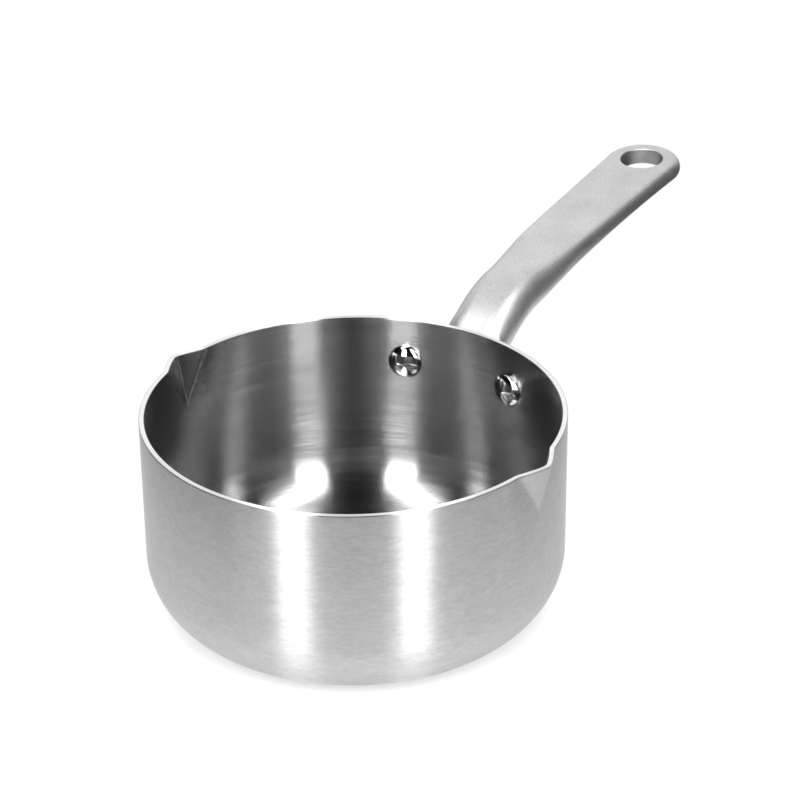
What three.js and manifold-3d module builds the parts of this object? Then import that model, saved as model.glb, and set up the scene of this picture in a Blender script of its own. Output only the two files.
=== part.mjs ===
// Saucepan pressed from clad steel sheet, with a pouring lip on either side and a riveted cast handle.
// Millimetres, +Z up. The origin is the centre of the base, on the surface that the pan stands on.
// The handle points along +X and the lips along +Y and -Y.
import * as THREE from "three";
import {
  mergeGeometries,
  mergeVertices,
  toCreasedNormals,
} from "three/addons/utils/BufferGeometryUtils.js";
import Module from "manifold-3d";

const wasm = await Module();
wasm.setup();

// Body: straight wall, large corner, flat base
const OUTER_DIAMETER = 160;
const BODY_HEIGHT = 82;
const CORNER_RADIUS = 26;

// The bonded sheets, from the outside in, ground flush at the rim with eased edges
const SHELL_THICKNESS = 0.5;
const CORE_THICKNESS = 1.1;
const LINER_THICKNESS = 0.5;
const RIM_EASE = 0.25;

// Pouring lips: half cones pressed outwards, each with its point below the rim
const LIP_BEARING = 90;
const LIP_REACH = 4.4;
const LIP_SPREAD = 4.8;
const LIP_DROP = 20;

// Handle in side view, along the middle of its top face: out of the wall, round a bend, straight to the hole
const ROOT_DROP = 10.2;
const ROOT_ANGLE = 49;
const ROOT_RUN = 2.1;
const BEND_RADIUS = 54.4;
const BAR_ANGLE = 5.1;
const BAR_RUN = 110.4;

// Handle width from above, and depth below the top face
const ROOT_WIDTH = 32;
const NECK_WIDTH = 23.5;
const MID_WIDTH = 29.2;
const END_WIDTH = 32.5;
const ROOT_DEPTH = 20;
const NECK_DEPTH = 13.8;
const MID_DEPTH = 7.7;
const END_DEPTH = 7.2;

// Handle section: rounded upper edge, then a flank that tucks under to the flat belly
const EDGE_RADIUS = 3;
const FLANK_TUCK = 2.5;

// Hang hole through the rounded end, with bevelled mouths
const HANG_HOLE_DIAMETER = 17.4;
const HANG_HOLE_BEVEL = 0.8;

// Flange of the handle, curved to the wall, with a round ear about each rivet
const FLANGE_THICKNESS = 4;
const EAR_RADIUS = 9.5;

// Rivets: domed head inside the pan, shank through wall and flange, set tail outside
const RIVET_BEARING = 17.9;
const RIVET_DROP = 18.3;
const RIVET_HEAD_DIAMETER = 13.9;
const RIVET_HEAD_HEIGHT = 4;
const RIVET_SHANK_DIAMETER = 6.5;
const RIVET_TAIL_DIAMETER = 10;
const RIVET_TAIL_HEIGHT = 1.8;
const RIVET_TAIL_BEVEL = 0.8;

// Clearances: flange and rivet heads to what they sit on, shank to its hole
const SEAT_GAP = 0.3;
const SHANK_GAP = 0.25;

// How finely curves are divided
const WALL_COLUMNS = 64;
const COLUMN_CROWDING = 0.62;
const LIP_ROWS = 5;
const CORNER_ROWS = 5;
const FLANGE_COLUMNS = 72;
const EAR_STEPS = 8;
const ROOT_STEPS = 3;
const BEND_STEPS = 7;
const BAR_STEPS = 6;
const END_STEPS = 12;
const EDGE_STEPS = 3;
const FLANK_STEPS = 3;
const HOLE_COLUMNS = 36;
const RIVET_COLUMNS = 24;
const DOME_ROWS = 4;
const SMOOTH_ANGLE = 30;

// Allowances that only booleans see: welding distance, and how far a tool runs past what it cuts
const WELD = 1e-4;
const OVERRUN = 5;

// Sizes that follow from those above
const OUTER_RADIUS = OUTER_DIAMETER / 2;
const CORE_DEPTH = SHELL_THICKNESS;
const LINER_DEPTH = CORE_DEPTH + CORE_THICKNESS;
const WALL_THICKNESS = LINER_DEPTH + LINER_THICKNESS;
const FLANGE_INNER_RADIUS = OUTER_RADIUS + SEAT_GAP;
const FLANGE_OUTER_RADIUS = FLANGE_INNER_RADIUS + FLANGE_THICKNESS;
const RIVET_HEIGHT = BODY_HEIGHT - RIVET_DROP;
const RIGHT_ANGLE = Math.PI / 2;
const radians = THREE.MathUtils.degToRad;
const lerp = THREE.MathUtils.lerp;

// A closed geometry as a solid: vertices welded, faces that collapsed on an axis dropped
function solid(geometry) {
  const bare = geometry.clone();
  bare.deleteAttribute("normal");
  bare.deleteAttribute("uv");
  const welded = mergeVertices(bare, WELD);
  const corners = welded.index.array;
  const kept = [];
  for (let i = 0; i < corners.length; i += 3) {
    const [a, b, c] = corners.subarray(i, i + 3);
    if (a !== b && b !== c && c !== a) kept.push(a, b, c);
  }
  const mesh = new wasm.Mesh({
    numProp: 3,
    vertProperties: welded.attributes.position.array,
    triVerts: new Uint32Array(kept),
  });
  return new wasm.Manifold(mesh);
}

// A finished piece: the solid's faces under a name, in one metal
function piece(name, body, material) {
  const mesh = body.getMesh();
  const faces = new THREE.BufferGeometry();
  faces.setAttribute("position", new THREE.BufferAttribute(mesh.vertProperties, mesh.numProp));
  faces.setIndex(new THREE.BufferAttribute(mesh.triVerts, 1));
  const shaded = new THREE.Mesh(toCreasedNormals(faces, radians(SMOOTH_ANGLE)), material);
  shaded.name = name;
  return shaded;
}

// A solid of revolution about Z from a profile of [radius, height] pairs, anticlockwise
function revolve(pairs, columns) {
  const points = pairs.map(([radius, height]) => new THREE.Vector2(radius, height));
  return new THREE.LatheGeometry(points, columns).rotateX(RIGHT_ANGLE);
}

// How far a lip pushes the wall out: a cone seen end-on at each height, widest at the rim
function lipReach(angle, height) {
  const share = 1 - (BODY_HEIGHT - height) / LIP_DROP;
  if (share <= 0) return 0;
  const along = OUTER_RADIUS * (Math.abs(angle) - radians(LIP_BEARING));
  return (LIP_REACH * share) / Math.cosh(along / (LIP_SPREAD * share));
}

// Section of one face of the body, from the axis up to the rim, at a depth inside the outer face
function faceProfile(depth, ease) {
  const points = [new THREE.Vector2(0, depth)];
  const centre = OUTER_RADIUS - CORNER_RADIUS;
  const radius = CORNER_RADIUS - depth;
  for (let i = 0; i <= CORNER_ROWS; i++) {
    const turn = (i / CORNER_ROWS) * RIGHT_ANGLE;
    const out = centre + radius * Math.sin(turn);
    points.push(new THREE.Vector2(out, CORNER_RADIUS - radius * Math.cos(turn)));
  }
  for (let i = 0; i < LIP_ROWS; i++) {
    const height = BODY_HEIGHT - LIP_DROP * (1 - i / LIP_ROWS);
    points.push(new THREE.Vector2(OUTER_RADIUS - depth, height));
  }
  points.push(new THREE.Vector2(OUTER_RADIUS - depth, BODY_HEIGHT - ease));
  return points;
}

// A profile turned about Z, its columns drawn together towards the lips, then the lips pressed out
function pressedSheet(points) {
  const sheet = new THREE.LatheGeometry(points, WALL_COLUMNS);
  const position = sheet.attributes.position;
  for (let i = 0; i < position.count; i++) {
    const across = position.getX(i);
    const ahead = position.getZ(i);
    const height = position.getY(i);
    const turn = Math.atan2(across, ahead);
    const angle = turn + (COLUMN_CROWDING / 2) * Math.sin(2 * turn);
    const radius = Math.hypot(across, ahead) + lipReach(angle, height);
    position.setXYZ(i, radius * Math.cos(angle), radius * Math.sin(angle), height);
  }
  return sheet;
}

// The same faces seen from the other side
function turnedOver(geometry) {
  const corners = geometry.index.array;
  for (let i = 0; i < corners.length; i += 3) {
    const first = corners[i];
    corners[i] = corners[i + 1];
    corners[i + 1] = first;
  }
  return geometry;
}

// One sheet of the body between two depths: its outer face, its inner face and the rim that joins them
function bodySheet(outerDepth, innerDepth, outerEase, innerEase) {
  const outside = faceProfile(outerDepth, outerEase);
  const inside = faceProfile(innerDepth, innerEase);
  const rim = [
    outside.at(-1),
    new THREE.Vector2(OUTER_RADIUS - outerDepth - outerEase, BODY_HEIGHT),
    new THREE.Vector2(OUTER_RADIUS - innerDepth + innerEase, BODY_HEIGHT),
    inside.at(-1),
  ];
  const faces = [
    pressedSheet(outside),
    pressedSheet(rim),
    turnedOver(pressedSheet(inside)),
  ];
  return solid(mergeGeometries(faces));
}

// The parabola through three values, at the start, middle and end of a run
function through(share, start, middle, end) {
  const rise = 4 * middle - 3 * start - end;
  const bow = 2 * (start + end - 2 * middle);
  return start + rise * share + bow * share * share;
}

// Half of the handle's section: out along the top, over the edge, down the flank and back under
function halfSection(width, depth) {
  const half = width / 2;
  const points = [new THREE.Vector2(0, 0)];
  for (let i = 0; i <= EDGE_STEPS; i++) {
    const turn = (i / EDGE_STEPS) * RIGHT_ANGLE;
    const out = half - EDGE_RADIUS * (1 - Math.sin(turn));
    points.push(new THREE.Vector2(out, -EDGE_RADIUS * (1 - Math.cos(turn))));
  }
  for (let i = 1; i <= FLANK_STEPS; i++) {
    const turn = (i / FLANK_STEPS) * RIGHT_ANGLE;
    const out = half - FLANK_TUCK * (1 - Math.cos(turn));
    points.push(new THREE.Vector2(out, -EDGE_RADIUS - (depth - EDGE_RADIUS) * Math.sin(turn)));
  }
  points.push(new THREE.Vector2(0, -depth));
  return points;
}

// Stations along the handle's top line, each with its place, lean, width and depth
function handleStations() {
  const rootAngle = radians(ROOT_ANGLE);
  const barAngle = radians(BAR_ANGLE);
  const rootTop = new THREE.Vector2(OUTER_RADIUS, BODY_HEIGHT - ROOT_DROP);
  const along = (angle, run) => new THREE.Vector2(Math.cos(angle), Math.sin(angle)).multiplyScalar(run);
  const bendStart = rootTop.clone().add(along(rootAngle, ROOT_RUN));
  const bendCentre = bendStart.clone().add(along(rootAngle - RIGHT_ANGLE, BEND_RADIUS));
  const rootStart = new THREE.Vector2(OUTER_RADIUS - OVERRUN, rootTop.y);
  const stations = [];
  for (let i = 0; i < ROOT_STEPS; i++) {
    const share = i / ROOT_STEPS;
    const flare = (1 - share) ** 2;
    stations.push({
      place: rootStart.clone().lerp(bendStart, share),
      lean: share * rootAngle,
      width: lerp(NECK_WIDTH, ROOT_WIDTH, flare),
      depth: lerp(NECK_DEPTH, ROOT_DEPTH, flare),
    });
  }
  for (let i = 0; i < BEND_STEPS; i++) {
    const lean = lerp(rootAngle, barAngle, i / BEND_STEPS);
    const place = bendCentre.clone().add(along(lean + RIGHT_ANGLE, BEND_RADIUS));
    stations.push({ place, lean, width: NECK_WIDTH, depth: NECK_DEPTH });
  }
  const barStart = bendCentre.clone().add(along(barAngle + RIGHT_ANGLE, BEND_RADIUS));
  for (let i = 0; i <= BAR_STEPS; i++) {
    const share = i / BAR_STEPS;
    stations.push({
      place: barStart.clone().add(along(barAngle, BAR_RUN * share)),
      lean: barAngle,
      width: through(share, NECK_WIDTH, MID_WIDTH, END_WIDTH),
      depth: through(share, NECK_DEPTH, MID_DEPTH, END_DEPTH),
    });
  }
  return stations;
}

// One half-section set up at a station, facing sideways (+-90 degrees), ahead (0) or between
function halfRing({ place, lean, width, depth }, facing) {
  const ahead = new THREE.Vector3(Math.cos(lean), 0, Math.sin(lean));
  const up = new THREE.Vector3(-Math.sin(lean), 0, Math.cos(lean));
  const out = ahead.multiplyScalar(Math.cos(facing));
  out.y = Math.sin(facing);
  return halfSection(width, depth).map((point) => {
    const corner = new THREE.Vector3(place.x, 0, place.y);
    return corner.addScaledVector(out, point.x).addScaledVector(up, point.y);
  });
}

// The handle's bar: the half-section carried out along one side, round the end and back along the other
function bar(stations) {
  const end = stations.at(-1);
  const rings = stations.map((station) => halfRing(station, RIGHT_ANGLE));
  for (let i = 1; i < END_STEPS; i++) {
    rings.push(halfRing(end, lerp(RIGHT_ANGLE, -RIGHT_ANGLE, i / END_STEPS)));
  }
  for (const station of stations.toReversed()) {
    rings.push(halfRing(station, -RIGHT_ANGLE));
  }
  const count = rings[0].length;
  const corners = [];
  rings.forEach((ring, i) => {
    const here = i * count;
    const next = ((i + 1) % rings.length) * count;
    for (let j = 0; j + 1 < count; j++) {
      corners.push(here + j, next + j, next + j + 1);
      corners.push(here + j, next + j + 1, here + j + 1);
    }
  });
  const skin = new THREE.BufferGeometry().setFromPoints(rings.flat());
  skin.setIndex(corners);
  return solid(skin);
}

// The flange: a band of the wall's curve, cut to an outline with a round ear about each rivet
function flange() {
  const low = RIVET_HEIGHT - EAR_RADIUS - OVERRUN;
  const high = RIVET_HEIGHT + EAR_RADIUS + OVERRUN;
  const band = [
    [FLANGE_INNER_RADIUS, low],
    [FLANGE_OUTER_RADIUS, low],
    [FLANGE_OUTER_RADIUS, high],
    [FLANGE_INNER_RADIUS, high],
    [FLANGE_INNER_RADIUS, low],
  ];
  const earOffset = FLANGE_OUTER_RADIUS * Math.sin(radians(RIVET_BEARING));
  const outline = new THREE.Shape();
  outline.absarc(earOffset, RIVET_HEIGHT, EAR_RADIUS, -RIGHT_ANGLE, RIGHT_ANGLE);
  outline.absarc(-earOffset, RIVET_HEIGHT, EAR_RADIUS, RIGHT_ANGLE, 3 * RIGHT_ANGLE);
  const depth = FLANGE_OUTER_RADIUS + OVERRUN;
  const prism = new THREE.ExtrudeGeometry(outline, { depth, curveSegments: EAR_STEPS, bevelEnabled: false });
  const sideways = new THREE.Vector3(0, 1, 0);
  const upwards = new THREE.Vector3(0, 0, 1);
  const outwards = new THREE.Vector3(1, 0, 0);
  prism.applyMatrix4(new THREE.Matrix4().makeBasis(sideways, upwards, outwards));
  return solid(revolve(band, FLANGE_COLUMNS)).intersect(solid(prism));
}

// Turns a solid of revolution so that it lies along a rivet, its base on the pan's axis
function alongRivet(geometry, side) {
  geometry.rotateY(RIGHT_ANGLE);
  geometry.rotateZ(side * radians(RIVET_BEARING));
  return geometry.translate(0, 0, RIVET_HEIGHT);
}

// A plain round bar along a rivet, between two distances from the pan's axis
function rivetBar(side, diameter, from, to) {
  const radius = diameter / 2;
  const profile = [[0, from], [radius, from], [radius, to], [0, to]];
  return solid(alongRivet(revolve(profile, RIVET_COLUMNS), side));
}

// The clearance hole of one rivet, through wall and flange
function rivetHole(side) {
  const diameter = RIVET_SHANK_DIAMETER + 2 * SHANK_GAP;
  return rivetBar(side, diameter, OUTER_RADIUS - WALL_THICKNESS - OVERRUN, FLANGE_OUTER_RADIUS + OVERRUN);
}

// The hang hole, square to the handle's end, flaring out past both faces
function hangHole({ place, lean }) {
  const radius = HANG_HOLE_DIAMETER / 2;
  const reach = HANG_HOLE_BEVEL + OVERRUN;
  const profile = [
    [0, -END_DEPTH - OVERRUN],
    [radius + reach, -END_DEPTH - OVERRUN],
    [radius, -END_DEPTH + HANG_HOLE_BEVEL],
    [radius, -HANG_HOLE_BEVEL],
    [radius + reach, OVERRUN],
    [0, OVERRUN],
  ];
  const drill = revolve(profile, HOLE_COLUMNS);
  drill.rotateY(-lean);
  return solid(drill.translate(place.x, 0, place.y));
}

// The cast handle: bar and flange in one, cut back to the wall and drilled
function castHandle() {
  const stations = handleStations();
  const clearOfWall = [
    [0, -OVERRUN],
    [FLANGE_INNER_RADIUS, -OVERRUN],
    [FLANGE_INNER_RADIUS, BODY_HEIGHT + OVERRUN],
    [0, BODY_HEIGHT + OVERRUN],
  ];
  return bar(stations)
    .add(flange())
    .subtract(solid(revolve(clearOfWall, FLANGE_COLUMNS)))
    .subtract(hangHole(stations.at(-1)))
    .subtract(rivetHole(1))
    .subtract(rivetHole(-1));
}

// A rivet's head: a low dome whose underside is fitted to the curve of the wall
function rivetHead(side) {
  const seat = OUTER_RADIUS - WALL_THICKNESS - SEAT_GAP;
  const radius = RIVET_HEAD_DIAMETER / 2;
  const edge = Math.sqrt(seat ** 2 - radius ** 2);
  const crown = edge - RIVET_HEAD_HEIGHT;
  const profile = [];
  for (let i = 0; i <= DOME_ROWS; i++) {
    const turn = (i / DOME_ROWS) * RIGHT_ANGLE;
    profile.push([radius * Math.sin(turn), crown + RIVET_HEAD_HEIGHT * (1 - Math.cos(turn))]);
  }
  profile.push([radius, OUTER_RADIUS], [0, OUTER_RADIUS]);
  const wall = bodySheet(-OVERRUN, WALL_THICKNESS + SEAT_GAP, 0, 0);
  return solid(alongRivet(revolve(profile, RIVET_COLUMNS), side)).subtract(wall);
}

// A rivet's tail, set down on the flange
function rivetTail(side) {
  const seat = FLANGE_OUTER_RADIUS + SEAT_GAP;
  const radius = RIVET_TAIL_DIAMETER / 2;
  const top = seat + RIVET_TAIL_HEIGHT;
  const profile = [
    [0, seat],
    [radius, seat],
    [radius, top - RIVET_TAIL_BEVEL],
    [radius - RIVET_TAIL_BEVEL, top],
    [0, top],
  ];
  return solid(alongRivet(revolve(profile, RIVET_COLUMNS), side));
}

// A whole rivet: head, shank and tail in one
function rivet(side) {
  const from = OUTER_RADIUS - WALL_THICKNESS - RIVET_HEAD_HEIGHT / 2;
  const to = FLANGE_OUTER_RADIUS + SEAT_GAP + RIVET_TAIL_HEIGHT / 2;
  const shank = rivetBar(side, RIVET_SHANK_DIAMETER, from, to);
  return rivetHead(side).add(shank).add(rivetTail(side));
}

// One sheet of the body with both rivet holes punched
function punched(sheet) {
  return sheet.subtract(rivetHole(1)).subtract(rivetHole(-1));
}

// Metals
const brushedSteel = new THREE.MeshStandardMaterial({ color: 0xc9c9c7, roughness: 0.32, metalness: 1 });
const innerSteel = new THREE.MeshStandardMaterial({ color: 0xc4c4c2, roughness: 0.26, metalness: 1 });
const bareAluminium = new THREE.MeshStandardMaterial({ color: 0xd6d7d8, roughness: 0.4, metalness: 1 });
const satinSteel = new THREE.MeshStandardMaterial({ color: 0xcdcdcb, roughness: 0.45, metalness: 1 });
const polishedSteel = new THREE.MeshStandardMaterial({ color: 0xd8d8d6, roughness: 0.08, metalness: 1 });

const body = new THREE.Group();
body.add(
  piece("outer_shell", punched(bodySheet(0, CORE_DEPTH, RIM_EASE, 0)), brushedSteel),
  piece("aluminium_core", punched(bodySheet(CORE_DEPTH, LINER_DEPTH, 0, 0)), bareAluminium),
  piece("inner_liner", punched(bodySheet(LINER_DEPTH, WALL_THICKNESS, 0, RIM_EASE)), innerSteel),
);

const riveted = new THREE.Group();
riveted.add(
  piece("handle", castHandle(), satinSteel),
  piece("rivet_left", rivet(1), polishedSteel),
  piece("rivet_right", rivet(-1), polishedSteel),
);

const saucepan = new THREE.Group();
saucepan.add(body, riveted);

export default saucepan;
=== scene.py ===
"""Saucepan with two pouring lips: finished pieces, metals and a studio, built around the packed frame.

Lengths are in metres, in the frame's own axes: +X along the handle, +Y and -Y at the lips, +Z up.
"""

import math

import bpy
from mathutils import Matrix, Vector


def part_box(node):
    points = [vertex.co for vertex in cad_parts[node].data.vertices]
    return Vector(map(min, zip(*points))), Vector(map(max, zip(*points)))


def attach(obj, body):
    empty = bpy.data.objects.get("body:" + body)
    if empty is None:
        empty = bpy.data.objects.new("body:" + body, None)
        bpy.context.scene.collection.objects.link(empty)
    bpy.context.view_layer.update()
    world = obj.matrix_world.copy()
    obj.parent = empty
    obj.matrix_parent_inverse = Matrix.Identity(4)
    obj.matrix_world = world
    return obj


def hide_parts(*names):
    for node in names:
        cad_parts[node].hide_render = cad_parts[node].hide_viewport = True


bl_info = {
    "name": "Saucepan",
    "version": (1, 0, 0),
    "blender": (4, 5, 0),
    "location": "View3D > Sidebar > Saucepan",
    "description": "Makes a clad steel saucepan with pouring lips and a riveted handle",
    "category": "Add Mesh",
}

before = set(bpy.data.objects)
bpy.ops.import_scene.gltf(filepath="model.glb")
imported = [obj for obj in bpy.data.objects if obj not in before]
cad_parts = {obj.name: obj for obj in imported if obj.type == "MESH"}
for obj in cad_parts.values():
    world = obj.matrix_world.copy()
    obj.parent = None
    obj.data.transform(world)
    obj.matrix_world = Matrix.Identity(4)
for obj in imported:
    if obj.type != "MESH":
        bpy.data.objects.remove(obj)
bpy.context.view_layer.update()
SHELL_LOW, SHELL_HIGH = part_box("outer_shell")

BODY = "root"
RIGHT_ANGLE = math.pi / 2
BRUSH_PLACE = "brush_place"
BRUSH_UV = "brush_uv"

# How finely the curves are divided
WALL_COLUMNS = 480
COLUMN_CROWDING = 0.62
CORNER_STEPS = 24
LIP_STEPS = 32
WALL_STEPS = 6
BASE_STEPS = 6
EASE_STEPS = 5
HIDDEN_CORNER_STEPS = 9
HIDDEN_LIP_STEPS = 12
RIVET_COLUMNS = 96
DOME_STEPS = 24
TAIL_STEPS = 6
TOP_STEPS = 32
EDGE_STEPS = 10
FLANK_STEPS = 48
FAN_STEPS = 12
BEND_STEPS = 16
BAR_STEPS = 26
SIDE_STEPS = 14
END_STEPS = 48
FACE_STEPS = 5
MOUTH_STEPS = 6
HOLE_STEPS = 4
BACK_STEPS = 6
RISE_STEPS = 3
FLANGE_EDGE_STEPS = 5
FLANGE_FACE_STEPS = 4
FILLET_STEPS = 7
# The top of the root has as many rows as the way over the flange beside it
ROOT_STEPS = FLANGE_EDGE_STEPS + FLANGE_FACE_STEPS + FILLET_STEPS + 1
CLOTH_STEPS = 24
SHARP_ANGLE = 0.6
WELD = 5e-6

# How round a lip is at its tip and at its feet, in half widths, and the height that this leaves at the tip
LIP_TIP = 0.12
LIP_FOOT = 0.08
LIP_CREST = 1 - LIP_TIP + math.hypot(1 - LIP_TIP, LIP_FOOT)
# The least share of its width that a lip keeps at its lower end
LIP_LEAST = 1e-4

# How square the shoulder of a rivet's dome is, where 2 is round
DOME_SQUARENESS = 2.6

# Share of the bar along which its edges sharpen
EDGE_RUN = 0.3
# Lean of the bend from which the handle's sections stand square to it
SQUARE_LEAN = math.radians(30)
# How softly the root's top leaves the flange, and the room above the flange's fillet
ROOT_EASE = 0.001
FILLET_ROOM = 0.0004
# The least width of the flange's face, and the most of it that the edge and the fillet take up
LEAST_SPAN = 0.0002
EDGE_SHARE = 0.35
FILLET_SHARE = 0.55

# Lines of the brushed metals: strokes round the body, lines to the metre, relief, swing of the colour
OUTSIDE_LINES = {"strokes": 26.0, "lines": 1000.0, "relief": 0.012, "streak": 0.09}
INSIDE_LINES = {"strokes": 3.0, "lines": 1500.0, "relief": 0.008, "streak": 0.16}
RIM_LINES = {"strokes": 20.0, "lines": 1000.0, "relief": 0.05, "streak": 0.04}
# Grain of the other metals: grains to the metre, relief, swing of the colour
SATIN_GRAIN = {"grains": 1900.0, "relief": 0.35, "swing": 0.24}
POLISHED_GRAIN = {"grains": 900.0, "relief": 0.02, "swing": 0.02}
LINE_NOISE = {"Scale": 1.0, "Detail": 1.5, "Roughness": 0.6}
GRAIN_NOISE = {"Detail": 2.0, "Roughness": 0.6}
CLOUD_NOISE = {"Scale": 60.0, "Detail": 3.0, "Roughness": 0.55}
# The middle of each noise, which is drawn out to run from 0 to 1
LINE_RANGE = (0.35, 0.65)
GRAIN_RANGE = (0.3, 0.7)
# How many broad lines there are to a fine one, and what the fine lines and the grain weigh in the colour
BROAD_PART = 0.3
FINE_SHARE = 0.65
GRAIN_SHARE = 0.7
# Share by which the roughness swings with the lines and with the grain
LINE_SWING = 0.02
GRAIN_SWING = 0.1
# Brushing spreads highlights in full, a quarter turn from the tangent
BRUSH_SPREAD = 1.0
BRUSH_TURN = 0.25


def length(name, millimetres, description):
    """A length that a user may change, given in millimetres and kept in metres."""
    return bpy.props.FloatProperty(
        name=name,
        description=description,
        default=millimetres / 1000,
        min=0.0,
        precision=5,
        unit="LENGTH",
    )


def angle(name, degrees, description):
    """An angle that a user may change, given in degrees and kept in radians."""
    return bpy.props.FloatProperty(
        name=name, description=description, default=math.radians(degrees), subtype="ANGLE"
    )


def share(name, value, description):
    """A number from 0 to 1 that a user may change."""
    return bpy.props.FloatProperty(
        name=name, description=description, default=value, min=0.0, max=1.0, subtype="FACTOR"
    )


def grey(name, value, description):
    """A metal's colour, neutral by default."""
    return bpy.props.FloatVectorProperty(
        name=name,
        description=description,
        default=(value, value, value),
        min=0.0,
        max=1.0,
        size=3,
        subtype="COLOR",
    )


def power(name, watts, description):
    """The power of a lamp, which a user may change."""
    return bpy.props.FloatProperty(name=name, description=description, default=watts, min=0.0, unit="POWER")


class SaucepanBodySizes(bpy.types.PropertyGroup):
    """Sizes of the pressed body."""

    radius: length("Radius", -1000 * SHELL_LOW.x, "Outside radius of the wall")
    height: length("Height", 1000 * SHELL_HIGH.z, "From the base to the rim")
    corner: length("Corner", 26, "Radius of the corner between base and wall, outside")
    shell: length("Outer sheet", 0.5, "Thickness of the outer steel sheet")
    core: length("Core", 1.1, "Thickness of the aluminium core")
    liner: length("Inner sheet", 0.5, "Thickness of the inner steel sheet")
    ease: length("Rim ease", 0.25, "Radius that eases both edges of the rim")
    lip_reach: length("Lip reach", 4.4, "How far each lip stands out at the rim")
    lip_spread: length("Lip spread", 12.5, "Half width of each lip at the rim")
    lip_drop: length("Lip drop", 20, "How far below the rim each lip starts")


class SaucepanHandleSizes(bpy.types.PropertyGroup):
    """Sizes of the cast handle."""

    root_drop: length("Root drop", 9.0, "From the rim down to the top of the root, at the wall")
    root_angle: angle("Root angle", 49, "Rise of the root out of the wall")
    root_run: length("Root run", 2.1, "Straight stretch before the bend")
    belly_angle: angle("Belly angle", 38.2, "Rise of the underside of the root")
    bend: length("Bend", 54.4, "Radius of the bend, along the top")
    bar_angle: angle("Bar angle", 4.6, "Rise of the straight bar")
    bar_run: length("Bar run", 110.4, "From the bend to the hang hole")
    neck_width: length("Neck width", 26.4, "Width at the bend")
    mid_width: length("Middle width", 30.0, "Width half way along the bar")
    end_width: length("End width", 33.1, "Width at the hang hole")
    neck_depth: length("Neck depth", 13.4, "Thickness at the bend")
    mid_depth: length("Middle depth", 7.7, "Thickness half way along the bar")
    end_depth: length("End depth", 7.2, "Thickness at the hang hole")
    edge: length("Edge", 4.2, "Radius of the upper edges along the bar")
    root_edge: length("Root edge", 8.5, "Radius of the upper edges at the root and in the bend")
    tuck: length("Tuck", 2.5, "How far the flanks draw in to the underside")
    hole: length("Hang hole", 18.3, "Diameter of the hang hole")
    mouth: length("Hole mouth", 0.45, "Radius that eases the hole's mouths")
    seat_gap: length("Seat gap", 0.3, "Space that the fitted flange keeps from the wall")
    flange: length("Flange", 4, "Thickness of the flange")
    flange_edge: length("Flange edge", 1.3, "Radius of the flange's edge")
    fillet: length("Fillet", 3.6, "Radius between flange and root")
    ear: length("Ear", 9.5, "Radius of the ear about each rivet")


class SaucepanRivetSizes(bpy.types.PropertyGroup):
    """Sizes and places of the two rivets."""

    bearing: angle("Bearing", 17.9, "From the handle's middle round to each rivet")
    drop: length("Drop", 18.3, "From the rim down to the rivets")
    head: length("Head", 13.9, "Diameter of the domed heads inside the pan")
    head_height: length("Head height", 3.4, "Rise of the heads")
    cone: length("Cone", 1.0, "Rise of the shallow cone on each head")
    shank: length("Shank", 6.5, "Diameter of the shanks")
    tail: length("Tail", 10, "Diameter of the set tails outside")
    tail_height: length("Tail height", 1.8, "How far the tails stand proud")
    tail_edge: length("Tail edge", 0.8, "Radius of the tails' edges")


class SaucepanFinishes(bpy.types.PropertyGroup):
    """Colours and polish of the metals."""

    outer: grey("Outer steel", 0.45, "Colour of the brushed outside")
    # The inside's steel is darker than the outside's: partly its own tone, partly painted shade inside the
    # pan.
    inner: grey("Inner steel", 0.37, "Colour of the brushed inside")
    rim: grey("Rim", 0.94, "Colour of the ground rim and of the core's edge in it")
    handle: grey("Handle steel", 0.64, "Colour of the satin handle")
    # The bore's grey is the handle's steel made darker: painted shade inside the hang hole.
    bore: grey("Bore", 0.32, "Colour of the hang hole's wall, darkened to paint the hole's shade")
    rivet: grey("Rivet steel", 0.70, "Colour of the polished rivets")
    outer_roughness: share("Outer roughness", 0.288, "Roughness of the brushed outside")
    inner_roughness: share("Inner roughness", 0.23, "Roughness of the brushed inside")
    rim_roughness: share("Rim roughness", 0.30, "Roughness of the ground rim")
    handle_roughness: share("Handle roughness", 0.48, "Roughness of the satin handle")
    rivet_roughness: share("Rivet roughness", 0.07, "Roughness of the polished rivets")


class SaucepanStudio(bpy.types.PropertyGroup):
    """Floor, lamps and backdrop."""

    floor: grey("Floor", 0.80, "Colour of the floor under the lamps")
    front_power: power("Front strips", 3.2, "Power of each strip lamp beside the camera")
    top_power: power("Top strips", 1.5, "Power of each strip lamp overhead")
    fill: share("Fill", 0.60, "Strength of the light from all round on the floor")
    veil: share("Veil", 0.44, "How much of the shadow on the floor is lifted to white")


# Node trees


def place(tree, kind, inputs=None, **settings):
    """Adds a node. A socket given as an input is linked, and any other value is set."""
    made = tree.nodes.new(kind)
    for key, value in settings.items():
        setattr(made, key, value)
    for key, value in (inputs or {}).items():
        if isinstance(value, bpy.types.NodeSocket):
            tree.links.new(value, made.inputs[key])
        else:
            made.inputs[key].default_value = value
    return made


def sums(tree, operation, *values):
    """A Math node's result."""
    return place(tree, "ShaderNodeMath", dict(enumerate(values)), operation=operation).outputs[0]


def ranged(tree, value, low, high, start=0.0, end=1.0):
    """A value carried over from one range to another, and held inside it."""
    return place(
        tree,
        "ShaderNodeMapRange",
        {"Value": value, "From Min": start, "From Max": end, "To Min": low, "To Max": high},
    ).outputs[0]


def vectors(tree, operation, *values, **named):
    """A Vector Math node's result."""
    inputs = {**dict(enumerate(values)), **named}
    return place(tree, "ShaderNodeVectorMath", inputs, operation=operation).outputs[0]


def combined(tree, x=0.0, y=0.0, z=0.0):
    """A vector of three values."""
    return place(tree, "ShaderNodeCombineXYZ", {"X": x, "Y": y, "Z": z}).outputs[0]


def above(tree, value, level):
    """Whether a value is above a level."""
    return place(tree, "FunctionNodeCompare", {0: value, 1: level}, operation="GREATER_THAN").outputs[0]


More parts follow.
